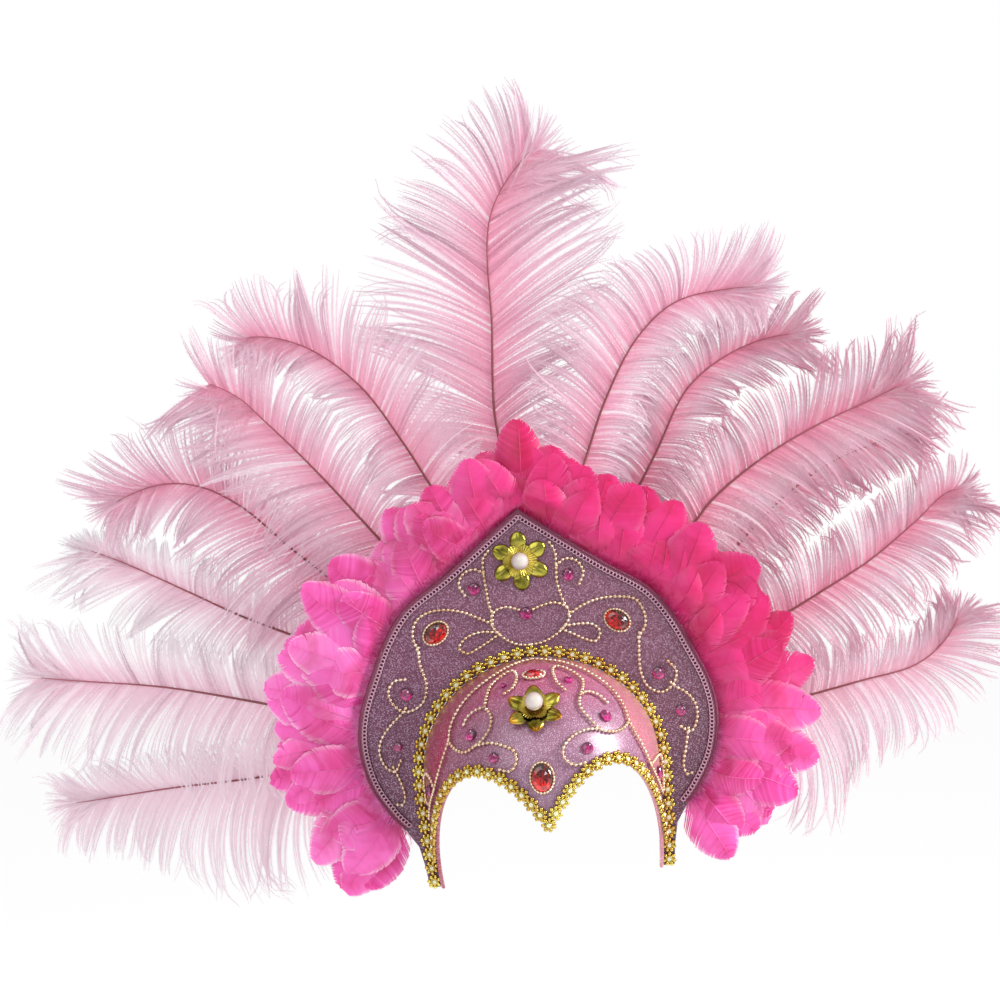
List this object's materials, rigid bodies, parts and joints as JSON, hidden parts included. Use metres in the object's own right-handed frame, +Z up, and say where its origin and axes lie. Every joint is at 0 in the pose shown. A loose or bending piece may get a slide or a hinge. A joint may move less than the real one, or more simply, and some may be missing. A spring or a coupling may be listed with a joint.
{
  "type": "carnival feather headdress",
  "caption": "Worn stage headdress: stiff half cap and onion-shaped crest plate with gold trims and stones, a feather ruff and a fan of long plumes.",
  "frame": {"origin": "crown seat: underside of the cap's top, in the plane of the crest plate's front face", "axes": "+Z up as worn, +X to the right as seen from the front, the front faces -Y"},
  "size_m": [0.6992, 0.1956, 0.5369],
  "materials": {
    "cap_glitter": "glitter fabric over a stiff shell, lilac at the front, pink to the sides, glossy",
    "plate_glitter": "mauve glitter fabric with pale sparkle on stiff board",
    "gimp_cord": "braided mauve cord with pale pink sheen",
    "gold_link": "stamped greenish-gold flower links",
    "gold_bead": "fine gold bead chain",
    "gold_petal": "polished stamped gold petals",
    "crystal": "small clear foil-backed stones in the flower links",
    "red_stone": "faceted foil-backed red acrylic",
    "magenta_stone": "faceted foil-backed magenta acrylic",
    "pearl": "pale pink pearl lustre",
    "ruff_feather": "hot-pink dyed short feathers with down at the root",
    "plume_pale": "near-white pink ostrich barbs",
    "plume_pink": "light pink ostrich barbs",
    "plume_rose": "rose pink ostrich barbs, deeper at the tips",
    "quill": "brown-red plume shaft, paler at the root",
    "elastic": "ribbed mauve elastic"
  },
  "bodies": {
    "root": {"cap": "cap_glitter", "crest_plate": "plate_glitter", "edge_gimp": "gimp_cord", "arch_trim": "gold_link", "brow_trim": "gold_link", "plate_chain_left": "gold_bead", "plate_chain_right": "gold_bead", "cap_chain_left": "gold_bead", "cap_chain_right": "gold_bead", "plate_flower": "gold_petal", "plate_pearl": "pearl", "cap_flower": "gold_petal", "cap_pearl": "pearl", "stone_red_upper_left": "red_stone", "stone_red_upper_right": "red_stone", "stone_red_brow_top": "red_stone", "stone_red_brow_point": "red_stone", "stone_plate_1": "magenta_stone", "stone_plate_2": "magenta_stone", "stone_plate_3": "magenta_stone", "stone_plate_4": "magenta_stone", "stone_plate_5": "magenta_stone", "stone_plate_6": "magenta_stone", "stone_plate_7": "magenta_stone", "stone_cap_1": "magenta_stone", "stone_cap_2": "magenta_stone", "stone_cap_3": "magenta_stone", "stone_cap_4": "magenta_stone", "stone_cap_5": "magenta_stone", "stone_cap_6": "magenta_stone", "stone_cap_7": "magenta_stone", "stone_cap_8": "magenta_stone", "ruff_1": "ruff_feather", "ruff_2": "ruff_feather", "ruff_3": "ruff_feather", "ruff_4": "ruff_feather", "ruff_5": "ruff_feather", "ruff_6": "ruff_feather", "ruff_7": "ruff_feather", "ruff_8": "ruff_feather", "ruff_9": "ruff_feather", "ruff_10": "ruff_feather", "ruff_11": "ruff_feather", "plume_1": "plume_pale", "plume_2": "plume_pale", "plume_3": "plume_pale", "plume_4": "plume_pink", "plume_5": "plume_pink", "plume_6": "plume_pink", "plume_7": "plume_pink", "plume_8": "plume_pink", "plume_9": "plume_pink", "plume_10": "plume_rose", "plume_11": "plume_rose", "plume_12": "plume_rose", "plume_13": "plume_rose", "head_band": "elastic"}
  },
  "joints": []
}
